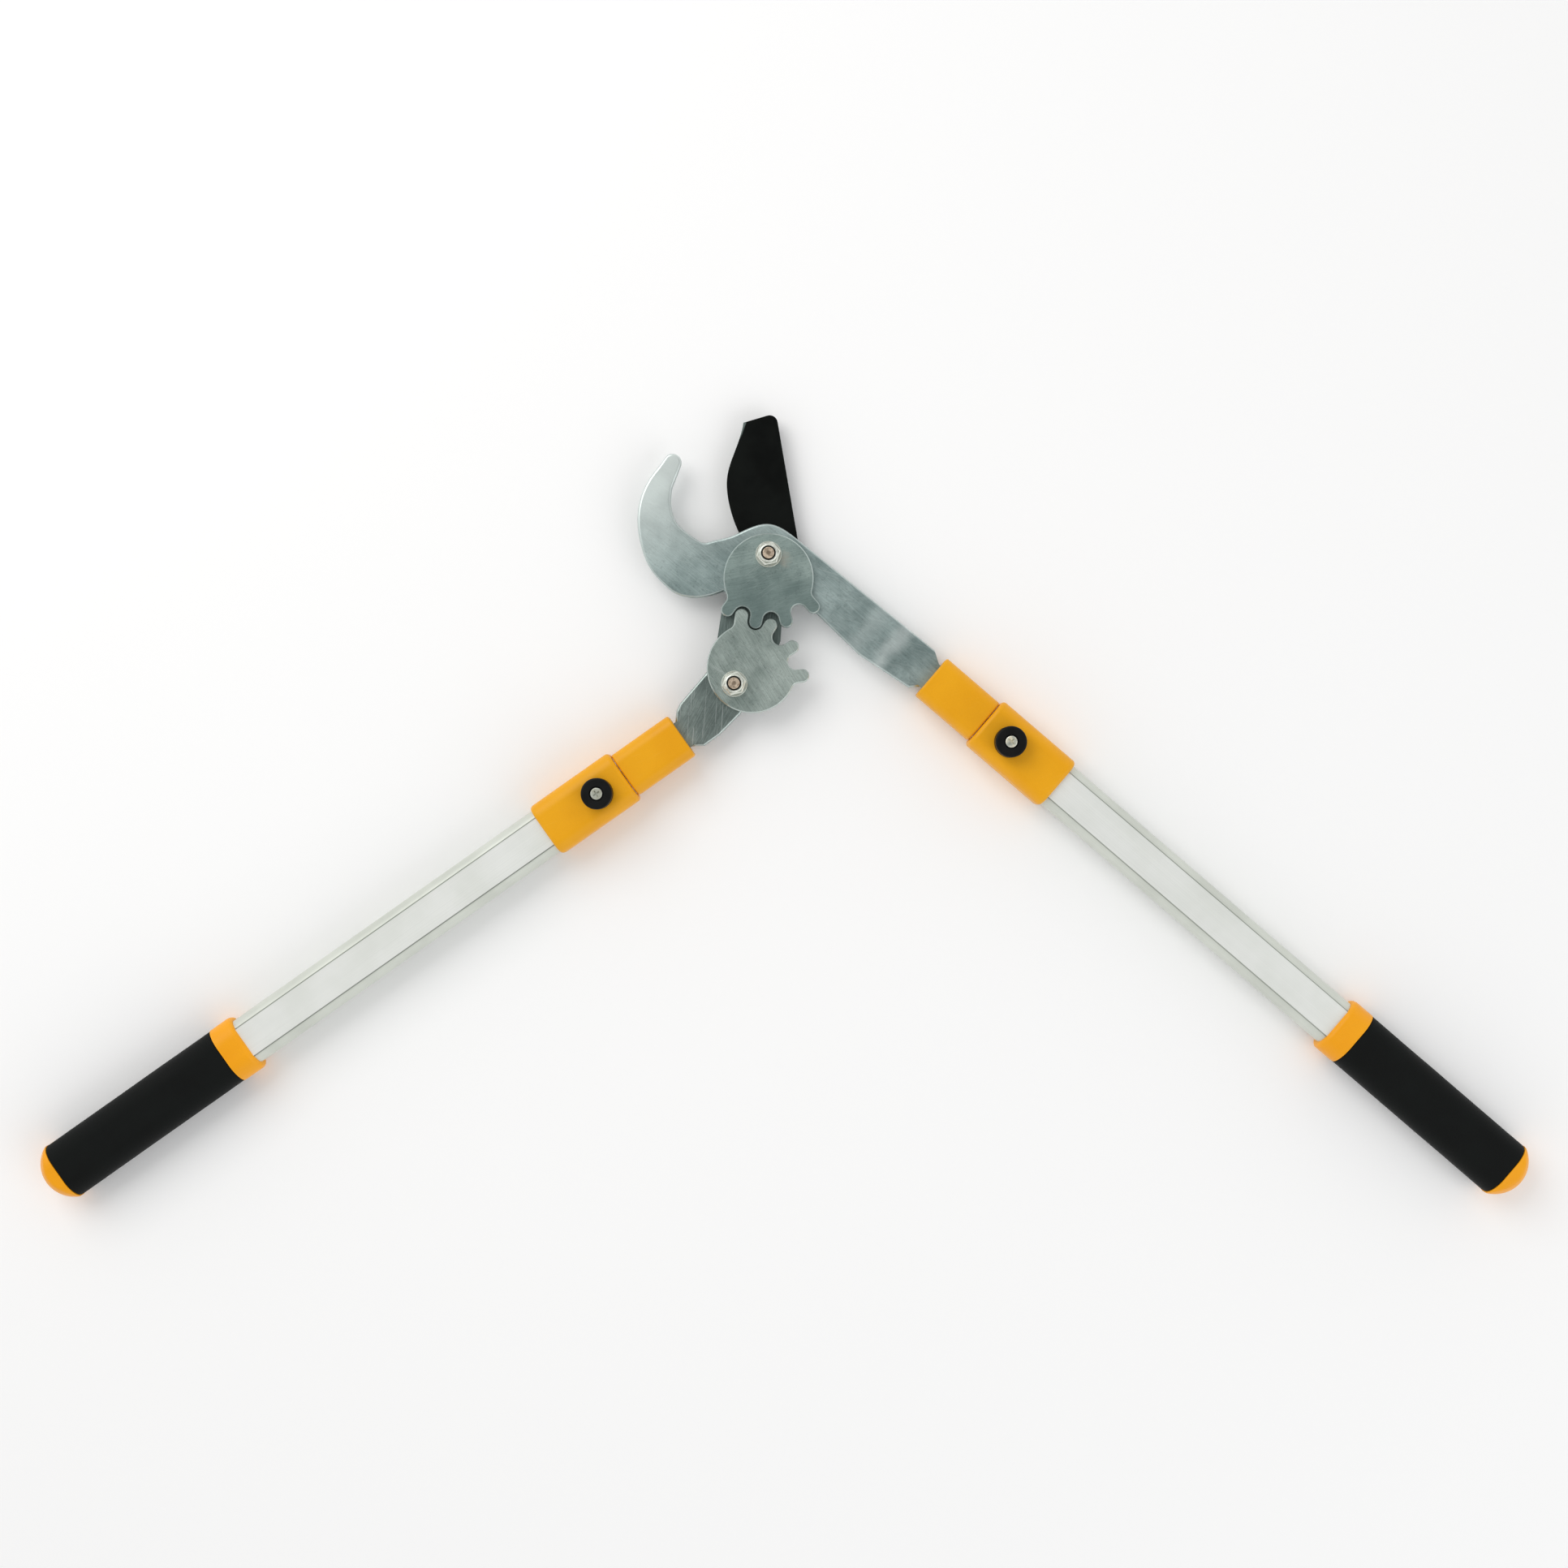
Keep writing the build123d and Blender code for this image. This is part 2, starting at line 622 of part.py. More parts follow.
def make_ferrule(side):
    """Moulded ferrule: a cover over the inner tube's end with a core round the tang."""
    with BuildPart() as ferrule:
        with BuildSketch(section(side, 0)):
            RectangleRounded(*FERRULE_SIZE, FERRULE_R)
        extrude(amount=FERRULE_L)
        fillet(ferrule.faces().filter_by(section(side, 0)).edges(), FERRULE_RIM)
        with BuildSketch(section(side, INNER_START)):
            inner_outline()
            core_outline(Mode.SUBTRACT)
        extrude(amount=FERRULE_L, mode=Mode.SUBTRACT)
        with BuildSketch(section(side, -1)):
            with Locations((0, (ARM_T[side] - PLATE_T) / 2)):
                Rectangle(ARM_W + 2 * SNUG, ARM_T[side] + 2 * SNUG)
        extrude(amount=FERRULE_L + BORED, mode=Mode.SUBTRACT)
        with BuildSketch(level(side, 0, HANDLE_Z + RIVET_UP)):
            hole_row(RIVET_R + SNUG, RIVETS_U)
        extrude(amount=-BORED, mode=Mode.SUBTRACT)
    save(ferrule, f"{side}_ferrule")


def make_tang_rivets(side):
    """Two rivets from the back through ferrule, inner tube, core and tang."""
    back = HANDLE_Z - FERRULE_SIZE[1] / 2
    with BuildPart() as rivets:
        with BuildSketch(level(side, 0, back)):
            hole_row(RIVET_R, RIVETS_U)
        extrude(amount=HANDLE_Z + RIVET_UP - back)
        with BuildSketch(level(side, 0, back - RIVET_HEAD_T)):
            hole_row(RIVET_HEAD_R, RIVETS_U)
        extrude(amount=RIVET_HEAD_T)
        fillet(rivets.faces().group_by(Axis.Z)[0].edges(), RIVET_DOME)
    save(rivets, f"{side}_tang_rivets")


def make_inner_tube(side):
    """Inner tube with a groove along its front and the lock holes in the groove's floor."""
    cavity = (INNER_SIZE[0] - 2 * INNER_WALL, INNER_SIZE[1] - 2 * INNER_WALL)
    top = INNER_SIZE[1] / 2
    with BuildPart() as tube:
        with BuildSketch(section(side, INNER_START)):
            inner_outline()
            with Locations((0, top)):
                Rectangle(GROOVE_W, 2 * GROOVE_D, mode=Mode.SUBTRACT)
        extrude(amount=INNER_END - INNER_START)
        with BuildSketch(section(side, INNER_START)):
            RectangleRounded(*cavity, INNER_R - INNER_WALL)
            with Locations((0, top)):
                Rectangle(
                    GROOVE_W + 2 * INNER_WALL, 2 * (GROOVE_D + INNER_WALL), mode=Mode.SUBTRACT
                )
        extrude(amount=INNER_END - INNER_START, mode=Mode.SUBTRACT)
        with BuildSketch(level(side, KNOB_U, HANDLE_Z)):
            hole_row(PIN_R + EASY, [step * LOCK_PITCH for step in range(LOCK_HOLES)])
        extrude(amount=top, mode=Mode.SUBTRACT)
        with BuildSketch(level(side, 0, HANDLE_Z)):
            hole_row(RIVET_R + SNUG, RIVETS_U)
        extrude(amount=-BORED, mode=Mode.SUBTRACT)
    save(tube, f"{side}_inner_tube")


def make_guide_bush(side):
    """Nylon plug in the inner tube's far end that guides it inside the outer tube."""
    with BuildPart() as guide:
        with BuildSketch(section(side, INNER_END)):
            RectangleRounded(BORE_SIZE[0] - 0.2, BORE_SIZE[1] - 0.2, BORE_R - 0.1)
        extrude(amount=GUIDE_HEAD)
        with BuildSketch(section(side, INNER_END - GUIDE_PLUG)):
            core_outline()
        extrude(amount=GUIDE_PLUG)
    save(guide, f"{side}_guide_bush")


def make_outer_tube(side):
    """Outer tube, from inside the sleeve to the end cap."""
    start = SLEEVE_START + SLEEVE_LIP
    with BuildPart() as tube:
        with BuildSketch(section(side, start)):
            tube_outline()
            with GridLocations(TUBE_PANEL[0] + LINE_W, TUBE_SIZE[1], 2, 2):
                Rectangle(LINE_W, 2 * LINE_D, mode=Mode.SUBTRACT)
            RectangleRounded(*BORE_SIZE, BORE_R, mode=Mode.SUBTRACT)
        extrude(amount=GRIP_END - start)
        with BuildSketch(level(side, KNOB_U, HANDLE_Z)):
            Circle(PIN_R + LOOSE)
        extrude(amount=BORED, mode=Mode.SUBTRACT)
        with BuildSketch(level(side, 0, HANDLE_Z)):
            hole_row(FIXING_R + SNUG, FIXINGS_U)
        extrude(amount=-BORED, mode=Mode.SUBTRACT)
    save(tube, f"{side}_outer_tube")


def cross_recess(span):
    """A cross for a screwdriver."""
    Rectangle(span, CROSS_W)
    Rectangle(CROSS_W, span)


def make_sleeve(side):
    """Moulded sleeve on the outer tube's mouth, with the boss that holds the lock."""
    with BuildPart() as sleeve:
        with BuildSketch(section(side, SLEEVE_START)):
            RectangleRounded(*SLEEVE_SIZE, SLEEVE_R)
        extrude(amount=SLEEVE_L)
        plane = section(side, SLEEVE_START)
        ends = sleeve.faces().filter_by(plane).edges()
        fillet(ends, SLEEVE_RIM)
        with BuildSketch(level(side, KNOB_U, SLEEVE_TOP - 1)):
            Circle(BOSS_R)
        extrude(amount=BOSS_TOP - SLEEVE_TOP + 1)
        with BuildSketch(section(side, SLEEVE_START)):
            RectangleRounded(*BORE_SIZE, BORE_R)
        extrude(amount=SLEEVE_L, mode=Mode.SUBTRACT)
        with BuildSketch(section(side, SLEEVE_START + SLEEVE_LIP)):
            tube_outline()
        extrude(amount=SLEEVE_L, mode=Mode.SUBTRACT)
        with BuildSketch(level(side, KNOB_U, HANDLE_Z)):
            Circle(CHAMBER_R)
        extrude(amount=CHAMBER_TOP - HANDLE_Z, mode=Mode.SUBTRACT)
        with BuildSketch(level(side, KNOB_U, HANDLE_Z)):
            Circle(PIN_R + RUN)
        extrude(amount=BORED, mode=Mode.SUBTRACT)
        with BuildSketch(level(side, 0, HANDLE_Z)):
            hole_row(FIXING_R + SNUG, FIXINGS_U)
        extrude(amount=-BORED, mode=Mode.SUBTRACT)
        with BuildSketch(level(side, 0, FIXING_LOW + FIXING_HEAD_T)):
            hole_row(FIXING_HEAD_R + 0.1, FIXINGS_U)
        extrude(amount=-BORED, mode=Mode.SUBTRACT)
    save(sleeve, f"{side}_sleeve")


def make_sleeve_screws(side):
    """Two short screws at the back that hold the sleeve on the outer tube."""
    with BuildPart() as screws:
        with BuildSketch(level(side, 0, FIXING_LOW)):
            hole_row(FIXING_HEAD_R, FIXINGS_U)
        extrude(amount=FIXING_HEAD_T)
        with BuildSketch(level(side, 0, FIXING_LOW)):
            hole_row(FIXING_R, FIXINGS_U)
        extrude(amount=BORE_FLOOR - FIXING_LOW - 0.1)
        with BuildSketch(level(side, 0, FIXING_LOW)):
            with Locations(*[(distance, 0) for distance in FIXINGS_U]):
                cross_recess(3.6)
        extrude(amount=1.1, mode=Mode.SUBTRACT)
    save(screws, f"{side}_sleeve_screws")


def make_lock_pin(side):
    """Lock pin: its nose rides in the inner tube's groove and a flange takes the spring."""
    with BuildPart() as pin:
        with BuildSketch(level(side, KNOB_U, GROOVE_FLOOR + PIN_FLOOR_GAP)):
            Circle(PIN_R)
        extrude(amount=KNOB_ROOF - GROOVE_FLOOR - PIN_FLOOR_GAP)
        chamfer(pin.faces().sort_by(Axis.Z)[0].edges(), PIN_POINT)
        with BuildSketch(level(side, KNOB_U, FLANGE_LOW)):
            Circle(FLANGE_R)
        extrude(amount=FLANGE_HIGH - FLANGE_LOW)
        with BuildSketch(level(side, KNOB_U, SCREW_END)):
            Circle(SCREW_R + SNUG)
        extrude(amount=BORED, mode=Mode.SUBTRACT)
    save(pin, f"{side}_lock_pin")


def make_lock_spring(side):
    """Compression spring between the pin's flange and the roof of the boss."""
    low = FLANGE_HIGH + SPRING_WIRE + SPRING_AIR
    high = CHAMBER_TOP - SPRING_WIRE - SPRING_AIR
    plane = level(side, KNOB_U, low)
    with BuildPart() as spring:
        with BuildLine(plane):
            coil = Helix((high - low) / SPRING_TURNS, high - low, SPRING_R)
        with BuildSketch(Plane(origin=coil @ 0, z_dir=coil % 0)):
            Circle(SPRING_WIRE)
        sweep(path=coil, is_frenet=True)
    save(spring, f"{side}_lock_spring")


def make_knob(side):
    """Pull knob: a cup over the boss, screwed to the top of the pin."""
    with BuildPart() as knob:
        with BuildSketch(level(side, KNOB_U, KNOB_LOW)):
            Circle(KNOB_R)
        extrude(amount=KNOB_TOP - KNOB_LOW)
        fillet(knob.faces().sort_by(Axis.Z)[-1].edges(), KNOB_RIM)
        with BuildSketch(level(side, KNOB_U, KNOB_LOW)):
            Circle(BOSS_R + LOOSE)
        extrude(amount=KNOB_ROOF - KNOB_LOW, mode=Mode.SUBTRACT)
        with BuildSketch(level(side, KNOB_U, KNOB_LOW)):
            Circle(SCREW_R + SNUG)
        extrude(amount=KNOB_TOP - KNOB_LOW, mode=Mode.SUBTRACT)
        with BuildSketch(level(side, KNOB_U, SCREW_SEAT)):
            Circle(SCREW_RECESS_R)
        extrude(amount=BORED, mode=Mode.SUBTRACT)
    save(knob, f"{side}_knob")


def make_knob_screw(side):
    """Cross-recessed pan-head screw that holds the knob on the pin."""
    with BuildPart() as screw:
        with BuildSketch(level(side, KNOB_U, SCREW_END + 0.3)):
            Circle(SCREW_R)
        extrude(amount=SCREW_SEAT - SCREW_END - 0.3)
        with BuildSketch(level(side, KNOB_U, SCREW_SEAT)):
            Circle(SCREW_HEAD_R)
        extrude(amount=SCREW_HEAD_T)
        fillet(screw.faces().sort_by(Axis.Z)[-1].edges(), SCREW_DOME)
        with BuildSketch(level(side, KNOB_U, SCREW_SEAT + 0.7)):
            cross_recess(4.2)
        extrude(amount=BORED, mode=Mode.SUBTRACT)
    save(screw, f"{side}_knob_screw")


def make_grip_collar(side):
    """Moulded collar at the front of the grip."""
    with BuildPart() as collar:
        with BuildSketch(section(side, COLLAR_START)):
            RectangleRounded(*END_SIZE, END_R)
        extrude(amount=GRIP_START - COLLAR_START)
        mouth = section(side, 0).origin
        fillet(collar.faces().sort_by_distance(mouth)[0].edges(), END_RIM)
        with BuildSketch(section(side, COLLAR_START)):
            tube_outline()
        extrude(amount=GRIP_START - COLLAR_START, mode=Mode.SUBTRACT)
    save(collar, f"{side}_grip_collar")


def make_grip(side):
    """Foam grip."""
    with BuildPart() as grip:
        with BuildSketch(section(side, GRIP_START)):
            RectangleRounded(*GRIP_SIZE, GRIP_R)
            tube_outline(Mode.SUBTRACT)
        extrude(amount=GRIP_END - GRIP_START)
    save(grip, f"{side}_grip")


def make_end_cap(side):
    """Domed cap with a plug inside the outer tube."""
    with BuildPart() as cap:
        with BuildSketch(section(side, GRIP_END)):
            RectangleRounded(*END_SIZE, END_R)
        extrude(amount=HANDLE_END - GRIP_END)
        with Locations(section(side, HANDLE_END - DOME_R)):
            Sphere(DOME_R, mode=Mode.INTERSECT)
        far = section(side, HANDLE_END).origin
        fillet(cap.faces().sort_by_distance(far)[0].edges(), END_RIM)
        with BuildSketch(section(side, GRIP_END - CAP_PLUG)):
            RectangleRounded(BORE_SIZE[0] - 0.1, BORE_SIZE[1] - 0.1, BORE_R - 0.05)
        extrude(amount=CAP_PLUG)
    save(cap, f"{side}_end_cap")


for side in HANDLES:
    make_ferrule(side)
    make_tang_rivets(side)
    make_inner_tube(side)
    make_guide_bush(side)
    make_outer_tube(side)
    make_sleeve(side)
    make_sleeve_screws(side)
    make_lock_pin(side)
    make_lock_spring(side)
    make_knob(side)
    make_knob_screw(side)
    make_grip_collar(side)
    make_grip(side)
    make_end_cap(side)
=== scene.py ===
import json
import math

import bmesh
import bpy
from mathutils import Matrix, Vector, noise


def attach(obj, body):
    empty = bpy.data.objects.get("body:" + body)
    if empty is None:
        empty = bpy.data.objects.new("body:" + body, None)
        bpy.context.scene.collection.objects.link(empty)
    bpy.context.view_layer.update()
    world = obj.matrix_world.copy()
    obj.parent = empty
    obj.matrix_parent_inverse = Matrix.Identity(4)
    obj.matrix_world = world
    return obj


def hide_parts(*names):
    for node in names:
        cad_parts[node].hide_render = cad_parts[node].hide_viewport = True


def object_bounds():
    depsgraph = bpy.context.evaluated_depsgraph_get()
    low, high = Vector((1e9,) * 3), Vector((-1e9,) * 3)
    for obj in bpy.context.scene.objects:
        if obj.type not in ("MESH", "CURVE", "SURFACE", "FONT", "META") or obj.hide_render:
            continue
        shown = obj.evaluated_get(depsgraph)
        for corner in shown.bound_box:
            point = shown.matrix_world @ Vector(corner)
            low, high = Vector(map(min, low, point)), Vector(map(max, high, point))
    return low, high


# Geared bypass loppers, lying open. Metres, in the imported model's own frame: the main pivot's axis
# is the Z axis, +Z is up and the jaw points towards +Y. Directions in plan are degrees from +X
# towards +Y.

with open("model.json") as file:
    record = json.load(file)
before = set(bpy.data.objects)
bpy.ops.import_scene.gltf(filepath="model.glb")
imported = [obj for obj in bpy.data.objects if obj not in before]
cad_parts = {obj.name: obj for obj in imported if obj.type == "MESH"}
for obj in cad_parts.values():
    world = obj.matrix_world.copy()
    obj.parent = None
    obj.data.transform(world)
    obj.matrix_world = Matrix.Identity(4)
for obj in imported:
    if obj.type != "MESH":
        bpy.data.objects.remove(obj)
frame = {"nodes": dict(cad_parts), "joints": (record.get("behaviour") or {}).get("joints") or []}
cad_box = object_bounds()

MM = 0.001
SIDES = ("right", "left")
joints = {joint["name"]: joint for joint in frame["joints"]}
main_pivot = Vector(joints["blade_pivot"]["pos_m"])
lower_pivot = Vector(joints["left_arm_pivot"]["pos_m"])


class Handle:
    """A handle's own directions, u along it, t across it and z up, and the extent of its grip."""

    def __init__(self, side):
        self.way = Vector(joints[f"{side}_extension"]["axis"])
        self.angle = math.degrees(math.atan2(self.way.y, self.way.x))
        self.across = Vector((-self.way.y, self.way.x, 0.0))
        corners = [vertex.co for vertex in frame["nodes"][f"{side}_grip"].data.vertices]
        along = [corner.dot(self.way) for corner in corners]
        across = [corner.dot(self.across) for corner in corners]
        up = [corner.z for corner in corners]
        self.start, self.end = min(along), max(along)
        self.middle = (min(across) + max(across)) / 2
        self.centre_z = (min(up) + max(up)) / 2
        self.half_width = (max(across) - min(across)) / 2
        self.half_height = (max(up) - min(up)) / 2

    def place(self, u, t, z):
        """The point at u from the frame's origin, and at t and z from the grip's middle line."""
        return self.way * u + self.across * (self.middle + t) + Vector((0, 0, self.centre_z + z))


handles = {side: Handle(side) for side in SIDES}


# ---------------------------------------------------------------- camera
CAMERA_PLACE = (0.0095, -0.141, 1.381)  # it looks straight down
CAMERA_SENSOR = 36  # mm, as is the lens
CAMERA_LENS = 50.83
camera = bpy.data.objects.new("camera", bpy.data.cameras.new("camera"))
camera.data.sensor_width = CAMERA_SENSOR
camera.data.lens = CAMERA_LENS
camera.location = CAMERA_PLACE
bpy.context.scene.collection.objects.link(camera)
bpy.context.scene.camera = camera
bpy.context.scene.view_settings.view_transform = "Standard"


# ---------------------------------------------------------------- light
LIGHT_AIM = Vector((0.0, -0.12, 0.0))
SKY_TURN = (0.25, 0.95)  # steepness of view, 0 level and 1 straight up, where the tone changes
WHITE = (1, 1, 1, 1)


def area_light(name, place, size, watts, tint):
    """A square soft box that faces the middle of the object."""
    light = bpy.data.objects.new(name, bpy.data.lights.new(name, "AREA"))
    light.data.size = size
    light.data.energy = watts
    light.data.color = tint
    light.location = place
    light.rotation_euler = (LIGHT_AIM - light.location).to_track_quat("-Z", "Y").to_euler()
    bpy.context.scene.collection.objects.link(light)


def sky(zenith, horizon):
    """A white studio, darker overhead than round the sides."""
    world = bpy.data.worlds.new("studio")
    world.use_nodes = True
    bpy.context.scene.world = world
    tree = world.node_tree
    place = tree.nodes.new("ShaderNodeTexCoord")
    parts = tree.nodes.new("ShaderNodeSeparateXYZ")
    shade = tree.nodes.new("ShaderNodeMapRange")
    shade.interpolation_type = "SMOOTHSTEP"
    shade.inputs["From Min"].default_value, shade.inputs["From Max"].default_value = SKY_TURN
    shade.inputs["To Min"].default_value = horizon
    shade.inputs["To Max"].default_value = zenith
    tree.links.new(place.outputs["Generated"], parts.inputs[0])
    tree.links.new(parts.outputs["Z"], shade.inputs["Value"])
    tree.nodes["Background"].inputs["Color"].default_value = WHITE
    tree.links.new(shade.outputs[0], tree.nodes["Background"].inputs["Strength"])


sky(zenith=0.45, horizon=0.98)
area_light("key", (-1.1, 1.0, 1.7), 1.6, 20, (1.0, 0.99, 0.97))
area_light("fill", (1.5, -1.2, 1.4), 1.8, 10, (0.97, 0.99, 1.0))


# ---------------------------------------------------------------- shader nodes
MIX_FIRST, MIX_SECOND, MIX_RESULT = 6, 7, 2  # a mix node's colour sockets
FLAT_TILT = (0.90, 0.99)  # how upright a normal is where a flat face turns into a rounded edge
SIDE_TILT = (0.05, 0.35)  # and where the edge turns into a side


def srgb(red, green, blue):
    """The linear values that a shader takes for a colour as it looks on a screen, 0 to 255."""
    linear = []
    for value in (red, green, blue):
        share = value / 255
        linear.append(share / 12.92 if share <= 0.04045 else ((share + 0.055) / 1.055) ** 2.4)
    return (*linear, 1.0)


class Shader:
    """A material and its nodes. Each method adds one kind of node and returns its output."""

    def __init__(self, name, **settings):
        self.material = bpy.data.materials.new(name)
        self.material.use_nodes = True
        self.nodes = self.material.node_tree.nodes
        self.links = self.material.node_tree.links
        self.surface = self.nodes["Principled BSDF"]
        for socket, value in settings.items():
            self.surface.inputs[socket.replace("_", " ")].default_value = value

    def feed(self, socket, source):
        """Links an output to a socket, or sets the socket's value."""
        if isinstance(source, bpy.types.NodeSocket):
            self.links.new(source, socket)
        else:
            socket.default_value = source

    def give(self, name, source):
        self.feed(self.surface.inputs[name], source)

    def point(self):
        return self.coordinate("Object")

    def coordinate(self, kind):
        return self.nodes.new("ShaderNodeTexCoord").outputs[kind]

    def along(self, degrees, length, width):
        """Coordinates turned to a direction in plan, for a pattern of that length and width."""
        node = self.nodes.new("ShaderNodeMapping")
        node.vector_type = "TEXTURE"
        node.inputs["Rotation"].default_value = (0, 0, math.radians(degrees))
        node.inputs["Scale"].default_value = (length, width, width)
        self.links.new(self.point(), node.inputs["Vector"])
        return node.outputs[0]

    def noise(self, vector, scale=1.0, detail=3.0, harshness=0.5):
        node = self.nodes.new("ShaderNodeTexNoise")
        node.inputs["Scale"].default_value = scale
        node.inputs["Detail"].default_value = detail
        node.inputs["Roughness"].default_value = harshness
        self.links.new(vector, node.inputs["Vector"])
        return node.outputs["Fac"]

    def cells(self, vector, scale):
        node = self.nodes.new("ShaderNodeTexVoronoi")
        node.inputs["Scale"].default_value = scale
        self.links.new(vector, node.inputs["Vector"])
        return node.outputs["Distance"]

    def spread(self, source, low, high, start=0.0, end=1.0):
        """Takes a source from low..high to start..end, smoothly, and holds it there outside."""
        node = self.nodes.new("ShaderNodeMapRange")
        node.interpolation_type = "SMOOTHSTEP"
        self.feed(node.inputs["Value"], source)
        node.inputs["From Min"].default_value = low
        node.inputs["From Max"].default_value = high
        node.inputs["To Min"].default_value = start
        node.inputs["To Max"].default_value = end
        return node.outputs[0]

    def math(self, operation, first, second=0.0):
        node = self.nodes.new("ShaderNodeMath")
        node.operation = operation
        self.feed(node.inputs[0], first)
        self.feed(node.inputs[1], second)
        return node.outputs[0]

    def times(self, first, second):
        return self.math("MULTIPLY", first, second)

    def window(self, source, rise, fall):
        """1 between two ramps and 0 outside. A ramp is a low and a high value of the source."""
        return self.times(self.spread(source, *rise), self.spread(source, *fall, 1.0, 0.0))

    def mix(self, share, first, second, blend="MIX"):
        """A blend of two colours."""
        node = self.nodes.new("ShaderNodeMix")
        node.data_type = "RGBA"
        node.blend_type = blend
        self.feed(node.inputs["Factor"], share)
        self.feed(node.inputs[MIX_FIRST], first)
        self.feed(node.inputs[MIX_SECOND], second)
        return node.outputs[MIX_RESULT]

    def mottled(self, pattern, first, second, low=0.3, high=0.7):
        """A blend of two colours that follows a pattern."""
        return self.mix(self.spread(pattern, low, high), first, second)

    def lit(self, colour, factor):
        """A colour made lighter or darker by a factor that varies."""
        return self.mix(1.0, colour, factor, "MULTIPLY")

    def vector(self, operation, result, first, second):
        node = self.nodes.new("ShaderNodeVectorMath")
        node.operation = operation
        self.feed(node.inputs[0], first)
        self.feed(node.inputs[1], second)
        return node.outputs[result]

    def direction(self, degrees, origin=(0.0, 0.0)):
        """Distance along a direction in plan from an origin."""
        x, y = math.cos(math.radians(degrees)), math.sin(math.radians(degrees))
        distance = self.vector("DOT_PRODUCT", "Value", self.point(), (x, y, 0.0))
        return self.math("SUBTRACT", distance, x * origin[0] + y * origin[1])

    def height(self):
        return self.part_of(self.point(), "Z")

    def part_of(self, vector, axis):
        node = self.nodes.new("ShaderNodeSeparateXYZ")
        self.links.new(vector, node.inputs[0])
        return node.outputs[axis]

    def rim(self):
        """1 where the surface faces neither up, down nor sideways: a rounded or bevelled edge."""
        tilt = self.math("ABSOLUTE", self.part_of(self.coordinate("Normal"), "Z"))
        return self.window(tilt, SIDE_TILT, FLAT_TILT)

    def radius(self, centre):
        """Distance from an upright axis."""
        flat = self.vector("MULTIPLY", "Vector", self.point(), (1, 1, 0))
        return self.vector("DISTANCE", "Value", flat, (centre.x, centre.y, 0))

    def dent(self, height, depth):
        """Bumps of a depth in metres."""
        node = self.nodes.new("ShaderNodeBump")
        node.inputs["Distance"].default_value = depth
        self.links.new(height, node.inputs["Height"])
        self.give("Normal", node.outputs[0])


# ---------------------------------------------------------------- metals
STEEL_DULL = 0.42  # roughness, which the clouds change by CLOUD_DULL and a polished edge lowers
CLOUD_DULL = 0.06
EDGE_SHINE = 0.12
EDGE_POLISH_AND_HIGHLIGHT = 0.4  # how far an edge takes on EDGE_TONE: polish, and partly a painted highlight
EDGE_TONE = srgb(214, 222, 219)
SCRATCH_TONE = srgb(225, 232, 230)
SCRATCH_TURN = 24  # degrees from the grain

HOOK_TIP_WAY = 109  # direction from the pivot in which the hook gets paler
HOOK_PALE = (-2 * MM, 74 * MM)
ARM_BANDS = ((76 * MM, 9 * MM, 0.18), (95 * MM, 8 * MM, 0.42))  # distance, half width, strength
BAND_WANDER = 2.5 * MM

GEAR_DARK = (6 * MM, 26 * MM)  # depth below the pivot over which the upper gear darkens
GEAR_WANDER = 5 * MM
STAIN_PLACE = Vector((8.5 * MM, -2.5 * MM, 0.0))
STAIN_R = 6 * MM

TAIL_WAY = 59  # the blade's tail lies below the main pivot along this line
COAT_END = (-27.5 * MM, -26 * MM)  # under the upper gear
BEVEL_RISE, BEVEL_FALL = (-0.99, -0.92), (-0.7, -0.5)  # tilt of the ground face, at the back
EDGE_POINT = (-15.6 * MM, 82.4 * MM)  # on the cutting edge beside the tip
EDGE_WAY = 160  # direction out of that edge
NICK_DEPTH = (-1.9 * MM, -1.2 * MM)
NICK_START = (72 * MM, 75 * MM)  # Y from which the coat is worn off the edge

BOLT_FRONT = (29 * MM, 29.5 * MM)  # height above which the bolt shows in its nut
# Radii of painted shade on a bolt end: a dark ring at the thread, a darker middle for a dimple.
THREAD_SHADE_R = (3.35 * MM, 3.6 * MM)
DIMPLE_SHADE_R = (0.7 * MM, 1.9 * MM)
TURNING = 12000  # radians of a turning mark's wave to a metre

PANEL_HALF = 9.7 * MM  # half width of the tube's flat panel, with a groove along each edge
GROOVE_W = 0.7 * MM
GROOVE_SHADE = (0.55 * MM, 0.75 * MM)  # where the painted shade in it fades out, from the panel's edge
GROOVE_SHADE_EDGE = 0.1 * MM


def worked_steel(name, tone, shade, grain, streaks=0.16, clouds=0.5, scratches=0.2):
    """Rolled and ground plate: cloudy, with a fine grain one way and thin scratches across it.
    Gives what finish_steel takes."""
    steel = Shader(name, Metallic=1.0)
    cloud = steel.noise(steel.point(), 38, 4, 0.6)
    colour = steel.mottled(cloud, shade, tone, 0.5 - clouds / 2, 0.5 + clouds / 2)
    fine = steel.noise(steel.along(grain, 12 * MM, 0.5 * MM), 1.0, 4, 0.7)
    colour = steel.lit(colour, steel.spread(fine, 0.25, 0.75, 1 - streaks, 1 + streaks))
    speck = steel.noise(steel.point(), 900, 2, 0.6)
    colour = steel.lit(colour, steel.spread(speck, 0.30, 0.45, 0.80, 1.0))
    line = steel.noise(steel.along(grain + SCRATCH_TURN, 30 * MM, 0.45 * MM), 1.0, 1, 0.4)
    scratch = steel.times(steel.spread(line, 0.66, 0.72), scratches)
    return steel, steel.mix(scratch, colour, SCRATCH_TONE), fine, cloud


